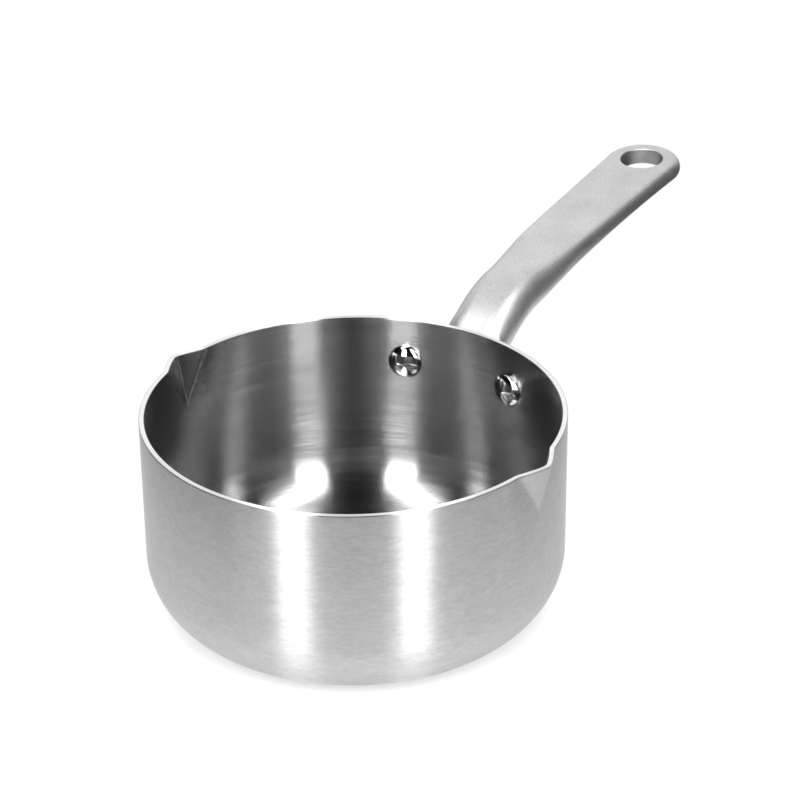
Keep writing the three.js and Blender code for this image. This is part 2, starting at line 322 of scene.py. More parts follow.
def rounded(tree, value, radius):
    """The size of a value, rounded off where it passes 0."""
    return sums(tree, "SQRT", sums(tree, "ADD", sums(tree, "MULTIPLY", value, value), radius**2))


def blended(tree, first, second, part):
    """A part of one value and the rest of another."""
    return sums(tree, "ADD", sums(tree, "MULTIPLY", first, part), sums(tree, "MULTIPLY", second, 1 - part))


def noise(tree, spot, **settings):
    """A noise texture's value and colour."""
    return place(tree, "ShaderNodeTexNoise", {"Vector": spot, **settings}).outputs


def leant(tree, normal, aside, amount):
    """A normal that leans aside by an amount."""
    lean = vectors(tree, "SCALE", aside, Scale=amount)
    return vectors(tree, "NORMALIZE", vectors(tree, "ADD", normal, lean))


def stored(tree, geometry, name, value, kind, domain):
    """A geometry that keeps a value under a name."""
    inputs = {"Geometry": geometry, "Name": name, "Value": value}
    kept = place(tree, "GeometryNodeStoreNamedAttribute", inputs, data_type=kind, domain=domain)
    return kept.outputs[0]


def opened(tree, inputs, outputs):
    """Gives a tree its named sockets, and returns its input and output nodes."""
    for name, kind, value in inputs:
        socket = tree.interface.new_socket(name=name, in_out="INPUT", socket_type=kind)
        if value is not None:
            socket.default_value = value
    for name, kind in outputs:
        tree.interface.new_socket(name=name, in_out="OUTPUT", socket_type=kind)
    return tree.nodes.new("NodeGroupInput").outputs, tree.nodes.new("NodeGroupOutput").inputs


def turned_tree():
    """Geometry: a profile's points turned about Z, closed at the seam and on the axis."""
    tree = bpy.data.node_groups.new("Turned profile", "GeometryNodeTree")
    given, result = opened(
        tree,
        [
            ("Profile", "NodeSocketGeometry", None),
            ("Columns", "NodeSocketInt", 64),
            ("Crowding", "NodeSocketFloat", 0.0),
        ],
        [("Mesh", "NodeSocketGeometry")],
    )
    counted = place(tree, "GeometryNodeAttributeDomainSize", {"Geometry": given["Profile"]})
    rows = counted.outputs["Point Count"]
    columns = sums(tree, "ADD", given["Columns"], 1.0)
    grid = place(tree, "GeometryNodeMeshGrid", {"Vertices X": columns, "Vertices Y": rows}).outputs
    index = place(tree, "GeometryNodeInputIndex").outputs[0]
    column, row = (
        place(tree, "FunctionNodeIntegerMath", {0: index, 1: rows}, operation=kind).outputs[0]
        for kind in ("DIVIDE_FLOOR", "MODULO")
    )
    position = place(tree, "GeometryNodeInputPosition").outputs[0]
    point = place(
        tree,
        "GeometryNodeSampleIndex",
        {"Geometry": given["Profile"], "Value": position, "Index": row},
        data_type="FLOAT_VECTOR",
    )
    profile = place(tree, "ShaderNodeSeparateXYZ", {0: point.outputs[0]}).outputs
    turn = sums(tree, "MULTIPLY", sums(tree, "DIVIDE", column, given["Columns"]), math.tau)
    swing = sums(tree, "SINE", sums(tree, "MULTIPLY", turn, 2.0))
    crowding = sums(tree, "DIVIDE", given["Crowding"], 2.0)
    bearing = sums(tree, "ADD", turn, sums(tree, "MULTIPLY", swing, crowding))
    ahead, aside = sums(tree, "COSINE", bearing), sums(tree, "SINE", bearing)
    spot = combined(
        tree,
        sums(tree, "MULTIPLY", profile["X"], ahead),
        sums(tree, "MULTIPLY", profile["X"], aside),
        profile["Z"],
    )
    brush = combined(tree, ahead, aside, profile["Y"])
    marked = stored(tree, grid["Mesh"], BRUSH_PLACE, brush, "FLOAT_VECTOR", "POINT")
    mapped = stored(tree, marked, BRUSH_UV, grid["UV Map"], "FLOAT2", "CORNER")
    shaped = place(tree, "GeometryNodeSetPosition", {"Geometry": mapped, "Position": spot})
    welded = place(tree, "GeometryNodeMergeByDistance", {"Geometry": shaped.outputs[0], "Distance": WELD})
    tree.links.new(welded.outputs[0], result["Mesh"])
    return tree


def finished(tree, geometry, material):
    """The end of a geometry tree: shading broken at sharp edges, instances made real, metal set."""
    bend = place(tree, "GeometryNodeInputMeshEdgeAngle").outputs["Unsigned Angle"]
    sharp = above(tree, bend, SHARP_ANGLE)
    smooth = place(tree, "GeometryNodeSetShadeSmooth", {"Geometry": geometry, "Shade Smooth": True})
    broken = place(
        tree,
        "GeometryNodeSetShadeSmooth",
        {"Geometry": smooth.outputs[0], "Selection": sharp, "Shade Smooth": False},
        domain="EDGE",
    )
    real = place(tree, "GeometryNodeRealizeInstances", {"Geometry": broken.outputs[0]})
    inputs = {"Geometry": real.outputs[0], "Material": material}
    return place(tree, "GeometryNodeSetMaterial", inputs).outputs[0]


def sheet_tree(turned):
    """Geometry: one sheet of the body, turned from its profile, with both lips pressed out."""
    tree = bpy.data.node_groups.new("Pressed sheet", "GeometryNodeTree")
    given, result = opened(
        tree,
        [
            ("Profile", "NodeSocketGeometry", None),
            ("Radius", "NodeSocketFloat", 0.08),
            ("Height", "NodeSocketFloat", 0.08),
            ("Lip reach", "NodeSocketFloat", 0.004),
            ("Lip spread", "NodeSocketFloat", 0.012),
            ("Lip drop", "NodeSocketFloat", 0.02),
            ("Metal", "NodeSocketMaterial", None),
            ("Rim metal", "NodeSocketMaterial", None),
        ],
        [("Geometry", "NodeSocketGeometry")],
    )
    sheet = place(
        tree,
        "GeometryNodeGroup",
        {"Profile": given["Profile"], "Columns": WALL_COLUMNS, "Crowding": COLUMN_CROWDING},
        node_tree=turned,
    )
    position = place(tree, "GeometryNodeInputPosition").outputs[0]
    spot = place(tree, "ShaderNodeSeparateXYZ", {0: position}).outputs
    below = sums(tree, "DIVIDE", sums(tree, "SUBTRACT", given["Height"], spot["Z"]), given["Lip drop"])
    part = sums(tree, "MAXIMUM", sums(tree, "SUBTRACT", 1.0, below), LIP_LEAST)
    bearing = sums(tree, "ABSOLUTE", sums(tree, "ARCTAN2", spot["Y"], spot["X"]))
    along = sums(tree, "MULTIPLY", sums(tree, "SUBTRACT", bearing, RIGHT_ANGLE), given["Radius"])
    across = sums(tree, "DIVIDE", along, sums(tree, "MULTIPLY", given["Lip spread"], part))
    flank = sums(tree, "SUBTRACT", 1.0, rounded(tree, across, LIP_TIP))
    tent = sums(tree, "DIVIDE", sums(tree, "ADD", flank, rounded(tree, flank, LIP_FOOT)), LIP_CREST)
    reach = sums(tree, "MULTIPLY", sums(tree, "MULTIPLY", given["Lip reach"], part), tent)
    out = vectors(tree, "NORMALIZE", combined(tree, spot["X"], spot["Y"]))
    push = vectors(tree, "SCALE", out, Scale=reach)
    pressed = place(tree, "GeometryNodeSetPosition", {"Geometry": sheet.outputs[0], "Offset": push})
    rim = above(tree, spot["Z"], sums(tree, "SUBTRACT", given["Height"], WELD))
    metal = finished(tree, pressed.outputs[0], given["Metal"])
    inputs = {"Geometry": metal, "Selection": rim, "Material": given["Rim metal"]}
    ground = place(tree, "GeometryNodeSetMaterial", inputs)
    tree.links.new(ground.outputs[0], result["Geometry"])
    return tree


def rivet_tree(turned):
    """Geometry: one rivet turned from its profile and set at the same bearing on either side."""
    tree = bpy.data.node_groups.new("Pair of rivets", "GeometryNodeTree")
    given, result = opened(
        tree,
        [
            ("Profile", "NodeSocketGeometry", None),
            ("Bearing", "NodeSocketFloat", 0.3),
            ("Level", "NodeSocketFloat", 0.06),
            ("Metal", "NodeSocketMaterial", None),
        ],
        [("Geometry", "NodeSocketGeometry")],
    )
    inputs = {"Profile": given["Profile"], "Columns": RIVET_COLUMNS}
    rivet = place(tree, "GeometryNodeGroup", inputs, node_tree=turned)
    level = combined(tree, z=given["Level"])
    pair = place(tree, "GeometryNodePoints", {"Count": 2, "Position": level})
    index = place(tree, "GeometryNodeInputIndex").outputs[0]
    side = sums(tree, "SUBTRACT", 1.0, sums(tree, "MULTIPLY", index, 2.0))
    lean = combined(tree, y=RIGHT_ANGLE, z=sums(tree, "MULTIPLY", side, given["Bearing"]))
    turn = place(tree, "FunctionNodeEulerToRotation", {0: lean}).outputs[0]
    set_in = place(
        tree,
        "GeometryNodeInstanceOnPoints",
        {"Points": pair.outputs[0], "Instance": rivet.outputs[0], "Rotation": turn},
    )
    tree.links.new(finished(tree, set_in.outputs[0], given["Metal"]), result["Geometry"])
    return tree


def brushed_group():
    """Shading: lines that run round the body, as values from 0 to 1, and a normal that leans with them."""
    tree = bpy.data.node_groups.new("Brushed lines", "ShaderNodeTree")
    given, result = opened(
        tree,
        [
            ("Place", "NodeSocketVector", None),
            ("Normal", "NodeSocketVector", None),
            ("Tangent", "NodeSocketVector", None),
            ("Strokes", "NodeSocketFloat", 20.0),
            ("Lines", "NodeSocketFloat", 1000.0),
            ("Relief", "NodeSocketFloat", 0.1),
        ],
        [("Streaks", "NodeSocketFloat"), ("Normal", "NodeSocketVector")],
    )
    spot = place(tree, "ShaderNodeSeparateXYZ", {0: given["Place"]}).outputs
    rows = []
    for part in (1.0, BROAD_PART):
        strokes = sums(tree, "MULTIPLY", given["Strokes"], part)
        lines = sums(tree, "MULTIPLY", given["Lines"], part)
        stretched = combined(
            tree,
            sums(tree, "MULTIPLY", spot["X"], strokes),
            sums(tree, "MULTIPLY", spot["Y"], strokes),
            sums(tree, "MULTIPLY", spot["Z"], lines),
        )
        rows.append(noise(tree, stretched, **LINE_NOISE)[0])
    fine, broad = rows
    streaks = blended(tree, fine, broad, FINE_SHARE)
    tree.links.new(ranged(tree, streaks, 0.0, 1.0, *LINE_RANGE), result["Streaks"])
    slope = sums(tree, "MULTIPLY", sums(tree, "SUBTRACT", fine, 0.5), given["Relief"])
    across = vectors(tree, "CROSS_PRODUCT", given["Normal"], given["Tangent"])
    tree.links.new(leant(tree, given["Normal"], across, slope), result["Normal"])
    return tree


def grain_group():
    """Shading: a fine blasted grain as a leant normal, and slow clouds in the polish from 0 to 1."""
    tree = bpy.data.node_groups.new("Fine grain", "ShaderNodeTree")
    given, result = opened(
        tree,
        [
            ("Place", "NodeSocketVector", None),
            ("Normal", "NodeSocketVector", None),
            ("Grains", "NodeSocketFloat", 2200.0),
            ("Relief", "NodeSocketFloat", 0.1),
        ],
        [("Cloud", "NodeSocketFloat"), ("Grain", "NodeSocketFloat"), ("Normal", "NodeSocketVector")],
    )
    grain, grain_colour = noise(tree, given["Place"], Scale=given["Grains"], **GRAIN_NOISE)
    cloud = noise(tree, given["Place"], **CLOUD_NOISE)[0]
    tree.links.new(ranged(tree, cloud, 0.0, 1.0, *GRAIN_RANGE), result["Cloud"])
    tree.links.new(ranged(tree, grain, 0.0, 1.0, *GRAIN_RANGE), result["Grain"])
    centred = vectors(tree, "SUBTRACT", grain_colour, (0.5, 0.5, 0.5))
    tree.links.new(leant(tree, given["Normal"], centred, given["Relief"]), result["Normal"])
    return tree


# Metals


def tinted(tree, value, colour, swing):
    """A colour that swings darker and lighter with a value."""
    dark, light = ((*(c * part for c in colour), 1) for part in (1 - swing, 1 + swing))
    return place(tree, "ShaderNodeMix", {"Factor": value, 6: dark, 7: light}, data_type="RGBA").outputs[2]


def swung(tree, value, middle, swing):
    """A value that swings by a share about its middle."""
    return ranged(tree, value, middle * (1 - swing), middle * (1 + swing))


def bare_material(name):
    """A new material, and its empty tree."""
    made = bpy.data.materials.new(name)
    made.use_nodes = True
    made.node_tree.nodes.clear()
    return made, made.node_tree


def surface(tree, kind, inputs):
    """Puts a shader on a material's surface."""
    shader = place(tree, kind, inputs)
    place(tree, "ShaderNodeOutputMaterial", {0: shader.outputs[0]})


def brushed_steel(name, colour, roughness, strokes, lines, relief, streak):
    """Steel brushed round the body: the lines spread a highlight up and down the wall."""
    made, tree = bare_material(name)
    tangent = place(tree, "ShaderNodeTangent", direction_type="UV_MAP", uv_map=BRUSH_UV).outputs[0]
    inputs = {
        "Place": place(tree, "ShaderNodeAttribute", attribute_name=BRUSH_PLACE).outputs["Vector"],
        "Normal": place(tree, "ShaderNodeNewGeometry").outputs["Normal"],
        "Tangent": tangent,
        "Strokes": strokes,
        "Lines": lines,
        "Relief": relief,
    }
    group = bpy.data.node_groups["Brushed lines"]
    brushed = place(tree, "ShaderNodeGroup", inputs, node_tree=group).outputs
    metal = {
        "Metallic": 1.0,
        "Base Color": tinted(tree, brushed["Streaks"], colour, streak),
        "Roughness": swung(tree, brushed["Streaks"], roughness, LINE_SWING),
        "Normal": brushed["Normal"],
        "Tangent": tangent,
        "Anisotropic": BRUSH_SPREAD,
        "Anisotropic Rotation": BRUSH_TURN,
    }
    surface(tree, "ShaderNodeBsdfPrincipled", metal)
    return made


def grained_steel(name, colour, roughness, grains, relief, swing):
    """Steel with an even grain: satin where it is coarse, polished where it is faint."""
    made, tree = bare_material(name)
    inputs = {
        "Place": place(tree, "ShaderNodeTexCoord").outputs["Object"],
        "Normal": place(tree, "ShaderNodeNewGeometry").outputs["Normal"],
        "Grains": grains,
        "Relief": relief,
    }
    group = bpy.data.node_groups["Fine grain"]
    grained = place(tree, "ShaderNodeGroup", inputs, node_tree=group).outputs
    speckle = blended(tree, grained["Grain"], grained["Cloud"], GRAIN_SHARE)
    metal = {
        "Metallic": 1.0,
        "Base Color": tinted(tree, speckle, colour, swing),
        "Roughness": swung(tree, grained["Grain"], roughness, GRAIN_SWING),
        "Normal": grained["Normal"],
    }
    surface(tree, "ShaderNodeBsdfPrincipled", metal)
    return made


# Pieces


def spread(start, stop, steps, first=0):
    """Values in equal steps from a start to a stop, from the first step on."""
    return [start + (stop - start) * i / steps for i in range(first, steps + 1)]


def quarter(steps, first=0):
    """The angles of a quarter turn in equal steps, from the first step on."""
    return spread(0.0, RIGHT_ANGLE, steps, first)


def linked(name, mesh):
    """A mesh as an object of the scene."""
    made = bpy.data.objects.new(name, mesh)
    bpy.context.scene.collection.objects.link(made)
    return made


def profile_object(name, pairs):
    """A profile to be turned: each point's radius in X, its run along the profile in Y, its height in Z."""
    run = 0.0
    points = []
    for i, (radius, height) in enumerate(pairs):
        if i:
            run += math.dist(pairs[i - 1], (radius, height))
        points.append((radius, run, height))
    mesh = bpy.data.meshes.new(name)
    mesh.from_pydata(points, [(i, i + 1) for i in range(len(points) - 1)], [])
    return linked(name, mesh)


def grown(name, source, tree, values):
    """The plain mesh object that a geometry tree makes of a source, which is then removed."""
    modifier = source.modifiers.new("Grow", "NODES")
    modifier.node_group = tree
    for item in tree.interface.items_tree:
        if item.in_out == "INPUT" and item.name in values:
            modifier[item.identifier] = values[item.name]
    depsgraph = bpy.context.evaluated_depsgraph_get()
    mesh = bpy.data.meshes.new_from_object(
        source.evaluated_get(depsgraph), preserve_all_data_layers=True, depsgraph=depsgraph
    )
    mesh.name = name
    bpy.data.objects.remove(source)
    return linked(name, mesh)


def joined(piece, slot, *nodes):
    """Ties a finished piece to the frame."""
    if not piece.data.polygons:
        raise RuntimeError(f"{piece.name} has no faces")
    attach(piece, BODY)
    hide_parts(*nodes)


def face_rows(body, depth, ease, corner_steps, lip_steps):
    """Section of one face of the body from the axis up to the rim, at a depth inside the outer face."""
    wall = body.radius - depth
    centre = body.radius - body.corner
    radius = body.corner - depth
    lip_start = body.height - body.lip_drop
    rows = [(across, depth) for across in spread(0.0, centre, BASE_STEPS)[:-1]]
    for turn in quarter(corner_steps):
        rows.append((centre + radius * math.sin(turn), body.corner - radius * math.cos(turn)))
    rows += [(wall, up) for up in spread(body.corner, lip_start, WALL_STEPS, 1)]
    rows += [(wall, up) for up in spread(lip_start, body.height - ease, lip_steps, 1)]
    return rows


def eased(body, depth, ease, inwards):
    """The eased edge of the rim on one face, from below up to the top."""
    edge = body.radius - depth
    return [
        (edge - inwards * ease * (1 - math.cos(turn)), body.height - ease * (1 - math.sin(turn)))
        for turn in (quarter(EASE_STEPS, 1) if ease else ())
    ]


def sheet_profile(body, outer, inner, outer_ease, inner_ease):
    """Closed section of one sheet: up its outer face, over the rim and down its inner face."""
    steps = {True: (CORNER_STEPS, LIP_STEPS), False: (HIDDEN_CORNER_STEPS, HIDDEN_LIP_STEPS)}
    rows = face_rows(body, outer, outer_ease, *steps[outer_ease > 0]) + eased(body, outer, outer_ease, 1)
    back = face_rows(body, inner, inner_ease, *steps[inner_ease > 0]) + eased(body, inner, inner_ease, -1)
    return rows + back[::-1]


class SAUCEPAN_OT_body(bpy.types.Operator):
    """Makes the three bonded sheets of the body, with both lips"""

    bl_idname = "saucepan.body"
    bl_label = "Body sheets"

    def execute(self, context):
        body = context.scene.saucepan_body
        finish = context.scene.saucepan_finish
        tree = sheet_tree(bpy.data.node_groups["Turned profile"])
        core_depth = body.shell
        liner_depth = core_depth + body.core
        wall = liner_depth + body.liner
        outside = brushed_steel("brushed_outside", finish.outer, finish.outer_roughness, **OUTSIDE_LINES)
        # The inside's darker grey is partly its own tone and partly painted shade inside the pan.
        inside = brushed_steel("brushed_inside", finish.inner, finish.inner_roughness, **INSIDE_LINES)
        edge = brushed_steel("ground_rim", finish.rim, finish.rim_roughness, **RIM_LINES)
        sheets = (
            ("outer_sheet", "outer_steel", "outer_shell", outside, (0.0, core_depth, body.ease, 0.0)),
            ("core_sheet", "core_aluminium", "aluminium_core", edge, (core_depth, liner_depth, 0.0, 0.0)),
            ("inner_sheet", "inner_steel", "inner_liner", inside, (liner_depth, wall, 0.0, body.ease)),
        )
        values = {
            "Radius": body.radius,
            "Height": body.height,
            "Lip reach": body.lip_reach,
            "Lip spread": body.lip_spread,
            "Lip drop": body.lip_drop,
            "Rim metal": edge,
        }
        for name, slot, node, material, depths in sheets:
            source = profile_object(f"{name}_profile", sheet_profile(body, *depths))
            joined(grown(name, source, tree, {**values, "Metal": material}), slot, node)
        return {"FINISHED"}


def rivet_profile(body, handle, rivet):
    """Section of a rivet from the crown of its head, past the shank, to the end of its set tail."""
    inner = body.radius - body.shell - body.core - body.liner
    radius = rivet.head / 2
    brim = math.sqrt((inner - handle.seat_gap) ** 2 - radius**2)
    crown = brim - rivet.head_height
    in_wall = inner + body.liner / 2
    rows = []
    for turn in quarter(DOME_STEPS):
        out = math.sin(turn)
        round_off = 1 - (1 - out**DOME_SQUARENESS) ** (1 / DOME_SQUARENESS)
        rows.append((radius * out, crown + rivet.cone * out + (rivet.head_height - rivet.cone) * round_off))
    seat = body.radius + handle.seat_gap + handle.flange
    top = seat + handle.seat_gap + rivet.tail_height
    rows += [
        (radius, in_wall),
        (rivet.shank / 2, in_wall),
        (rivet.shank / 2, seat - body.liner),
        (rivet.tail / 2, seat - body.liner),
    ]
    edge = rivet.tail_edge
    for turn in quarter(TAIL_STEPS):
        rows.append((rivet.tail / 2 - edge * (1 - math.cos(turn)), top - edge * (1 - math.sin(turn))))
    rows.append((0.0, top))
    return rows


class SAUCEPAN_OT_rivets(bpy.types.Operator):
    """Makes the two rivets that hold the handle"""

    bl_idname = "saucepan.rivets"
    bl_label = "Rivets"

    def execute(self, context):
        scene = context.scene
        rivet = scene.saucepan_rivet
        finish = scene.saucepan_finish
        polished = grained_steel("polished_rivets", finish.rivet, finish.rivet_roughness, **POLISHED_GRAIN)
        rows = rivet_profile(scene.saucepan_body, scene.saucepan_handle, rivet)
        source = profile_object("rivet_profile", rows)
        values = {
            "Bearing": rivet.bearing,
            "Level": scene.saucepan_body.height - rivet.drop,
            "Metal": polished,
        }
        tree = rivet_tree(bpy.data.node_groups["Turned profile"])
        joined(grown("handle_rivets", source, tree, values), "rivet_steel", "rivet_left", "rivet_right")
        return {"FINISHED"}


def through(part, start, middle, end):
    """The parabola through three values, at the start, middle and end of a run."""
    rise = 4 * middle - 3 * start - end
    bow = 2 * (start + end - 2 * middle)
    return start + rise * part + bow * part * part


def eased_step(part):
    """Runs smoothly from 0 to 1."""
    return part * part * (3 - 2 * part)


class HandleForm:
    """The handle's shape: its side view, its section, its flange and the skin over them."""

    def __init__(self, body, handle, rivet):
        self.body, self.handle, self.rivet = body, handle, rivet
        self.verts, self.faces, self.bore = [], [], range(0)
        root_top = Vector((body.radius, body.height - handle.root_drop))
        self.bend_start = root_top + self.heading(handle.root_angle) * handle.root_run
        self.centre = self.bend_start + self.heading(handle.root_angle - RIGHT_ANGLE) * handle.bend
        self.bar_start = self.bend_point(handle.bar_angle, 0.0)
        self.ahead = self.heading(handle.bar_angle)
        self.up = self.heading(handle.bar_angle + RIGHT_ANGLE)
        self.hole_place = self.bar_start + self.ahead * handle.bar_run
        self.face = handle.seat_gap + handle.flange
        self.level = body.height - rivet.drop

    @staticmethod
    def heading(lean):
        """A unit step in the side view."""
        return Vector((math.cos(lean), math.sin(lean)))

    def bend_point(self, lean, depth):
        """A point of the bend where the bar leans so, at a depth below its top."""
        return self.centre + self.heading(lean + RIGHT_ANGLE) * (self.handle.bend - depth)

    def half_section(self, width, depth, edge):
        """Half of the section, as pairs across and down: top, rounded edge, flank, underside."""
        half, tuck = width / 2, self.handle.tuck
        pairs = [(across, 0.0) for across in spread(0.0, half - edge, TOP_STEPS)[:-1]]
        for turn in quarter(EDGE_STEPS)[:-1]:
            pairs.append((half - edge * (1 - math.sin(turn)), edge * (1 - math.cos(turn))))
        for turn in quarter(FLANK_STEPS)[:-1]:
            pairs.append((half - tuck * (1 - math.cos(turn)), edge + (depth - edge) * math.sin(turn)))
        return pairs + [(across, depth) for across in spread(half - tuck, 0.0, TOP_STEPS)]

    def add(self, points):
        """New corners of the skin, and their numbers."""
        start = len(self.verts)
        self.verts.extend(points)
        return list(range(start, len(self.verts)))

    def skin(self, first, second, closed):
        """Faces between two rows of corners."""
        count = len(first)
        for i in range(count if closed else count - 1):
            j = (i + 1) % count
            self.faces.append((first[i], second[i], second[j], first[j]))

    @staticmethod
    def both_sides(points):
        """A half ring of points carried on round the other side."""
        return points + [(x, -y, z) for x, y, z in points[-2:0:-1]]

    def ring(self, top, belly, width, edge, curl=0.0):
        """The section between a top and a belly point, curled to the wall where it leaves the flange."""
        up = (top - belly).normalized()
        points = []
        for across, down in self.half_section(width, (top - belly).length, edge):
            spot = top - up * down
            sag = curl * (top.x - math.sqrt(top.x**2 - across**2))
            points.append((spot.x - sag, across, spot.y))
        return self.both_sides(points)

    def root_ends(self, out):
        """Heights of the root's top and belly at a distance out from the wall."""
        x = self.body.radius + out
        if x < self.bend_start.x:
            top = self.bend_start.y - (self.bend_start.x - x) * math.tan(self.handle.root_angle)
        else:
            top = self.centre.y + math.sqrt(self.handle.bend**2 - (self.centre.x - x) ** 2)
        belly_start = self.bend_point(self.handle.root_angle, self.handle.neck_depth)
        belly = belly_start.y - (belly_start.x - x) * math.tan(self.handle.belly_angle)
        return top, belly

    def flange_outline(self):
        """Half of the flange's outline, from where it leaves the root's side to the middle of its foot."""
        ear = self.handle.ear
        offset = (self.body.radius + self.face) * math.sin(self.rivet.bearing)
        start = self.handle.neck_width / 2
        straight, bow = offset - start, math.pi * ear
        points = []
        for run in spread(0.0, straight + bow, FLANK_STEPS)[:-1]:
            if run < straight:
                points.append((start + run, self.level + ear))
            else:
                turn = RIGHT_ANGLE - (run - straight) / ear
                points.append((offset + ear * math.cos(turn), self.level + ear * math.sin(turn)))
        return points + [(across, self.level - ear) for across in spread(offset, 0.0, TOP_STEPS)]

    def root_columns(self, reach):
        """For each point of the half section, its line over the flange's edge and face and up the root."""
        handle = self.handle
        low, face = handle.seat_gap, self.face
        top_line = self.level + handle.ear
        sections = {}

        def root_point(number, out):
            if out not in sections:
                top, belly = self.root_ends(out)
                size = handle.neck_width, top - belly, handle.root_edge
                sections[out] = [(a, top - d) for a, d in self.half_section(*size)]
            return Vector(sections[out][number])

        columns = []
        outline = self.flange_outline()
        plain = TOP_STEPS + EDGE_STEPS
        lifts = spread(low, face, RISE_STEPS) + spread(face, reach, ROOT_STEPS, 1)
        for number in range(plain):
            line = []
            for out in lifts:
                spot = root_point(number, out)
                gap = spot.y - top_line
                spot.y = top_line + (gap + math.hypot(gap, ROOT_EASE)) / 2
                line.append((spot, out))
            columns.append(line)
        for number, rim in enumerate(map(Vector, outline), plain):
            span = max((root_point(number, face) - rim).length, LEAST_SPAN)
            edge = min(handle.flange_edge, EDGE_SHARE * span)
            fillet = min(handle.fillet, FILLET_SHARE * span)
            path = [(0.0, out) for out in spread(low, face - edge, RISE_STEPS)[:-1]]
            for turn in quarter(FLANGE_EDGE_STEPS):
                path.append((edge * (1 - math.cos(turn)), face - edge * (1 - math.sin(turn))))
            path += [(inwards, face) for inwards in spread(edge, span - fillet, FLANGE_FACE_STEPS, 1)[:-1]]
            for turn in quarter(FILLET_STEPS):
                path.append((span - fillet * (1 - math.sin(turn)), face + fillet * (1 - math.cos(turn))))
            path.append((span, reach))
            line = [(rim.lerp(root_point(number, out), inwards / span), out) for inwards, out in path]
            columns.append(line)
        return columns

    def root_rings(self, reach):
        """The flange and the foot of the root as rings of corners, from the back of the flange outwards."""
        columns = self.root_columns(reach)

        def placed(spot, out):
            return (math.sqrt((self.body.radius + out) ** 2 - spot.x**2), spot.x, spot.y)

        middle = Vector((0.0, self.level))
        rings = []
        for part in spread(0.0, 1.0, BACK_STEPS, 1)[:-1]:
            ring = [placed(middle.lerp(line[0][0], part), line[0][1]) for line in columns]
            rings.append(self.add(self.both_sides(ring)))
        for row in range(len(columns[0])):
            rings.append(self.add(self.both_sides([placed(*line[row]) for line in columns])))
        heart = self.add([placed(middle, self.handle.seat_gap)])[0]
        inner = rings[0]
        for i in range(len(inner)):
            self.faces.append((heart, inner[i], inner[(i + 1) % len(inner)]))
        return rings

    def fan_rings(self, reach):
        """Rings that swing from upright at the flange to square across the bend."""
        handle = self.handle
        x = self.body.radius + reach
        start_lean = math.asin((self.centre.x - x) / handle.bend)
        foot = Vector((x, self.root_ends(reach)[1]))
        knee = self.bend_point(handle.root_angle, handle.neck_depth)
        straight = (knee - foot).length
        belly_bend = handle.bend - handle.neck_depth
        bow = belly_bend * (handle.root_angle - SQUARE_LEAN)
        rings = []
        for part in spread(0.0, 1.0, FAN_STEPS, 1):
            top = self.bend_point(start_lean + (SQUARE_LEAN - start_lean) * part, 0.0)
            run = (straight + bow) * part
            if run < straight:
                belly = foot.lerp(knee, run / straight)
            else:
                lean = handle.root_angle - (run - straight) / belly_bend
                belly = self.bend_point(lean, handle.neck_depth)
            curl = 1 - eased_step(part)
            rings.append(self.add(self.ring(top, belly, handle.neck_width, handle.root_edge, curl)))
        for lean in spread(SQUARE_LEAN, handle.bar_angle, BEND_STEPS, 1):
            ends = self.bend_point(lean, 0.0), self.bend_point(lean, handle.neck_depth)
            rings.append(self.add(self.ring(*ends, handle.neck_width, handle.root_edge)))
        return rings

    def bar_size(self, run):
        """Width, depth and edge radius of the bar at a distance from the bend."""
        handle = self.handle
        part = min(run / handle.bar_run, 1.0)
        sharpened = eased_step(min(part / EDGE_RUN, 1.0))
        return (
            through(part, handle.neck_width, handle.mid_width, handle.end_width),
            through(part, handle.neck_depth, handle.mid_depth, handle.end_depth),
            handle.root_edge + (handle.edge - handle.root_edge) * sharpened,
        )

    def bar_rings(self, stop):
        """Rings along the straight bar, up to a distance from the bend."""
        rings = []
        for run in spread(0.0, stop, BAR_STEPS, 1):
            width, depth, edge = self.bar_size(run)
            top = self.bar_start + self.ahead * run
            rings.append(self.add(self.ring(top, top - self.up * depth, width, edge)))
        return rings

    def end_spot(self, along, across, down):
        """A point near the hang hole: along the bar and across it from the hole's middle, and down."""
        spot = self.hole_place + self.ahead * along - self.up * down
        return (spot.x, across, spot.y)

    def end_band(self, along, facing):
        """Edge and flank at one place beside or round the hole, as corners from the top down."""
        size = self.bar_size(self.handle.bar_run + along)
        pairs = self.half_section(*size)[TOP_STEPS : TOP_STEPS + EDGE_STEPS + FLANK_STEPS + 1]
        return self.add(
            [
                self.end_spot(along + out * math.cos(facing), out * math.sin(facing), down)
                for out, down in pairs
            ]
        )

    def hole_rings(self, top_loop, belly_loop):
        """The top face, the hole with its eased mouths, and the underside, between two loops of corners."""
        radius, mouth = self.handle.hole / 2, self.handle.mouth
        bearings = []
        for number in top_loop:
            x, y, z = self.verts[number]
            along = (Vector((x, z)) - self.hole_place).dot(self.ahead)
            bearings.append(math.atan2(y, along))

        def circle(size, down):
            return [self.end_spot(size * math.cos(b), size * math.sin(b), down) for b in bearings]

        def between(first, second, part):
            return [Vector(a).lerp(Vector(b), part)[:] for a, b in zip(first, second)]

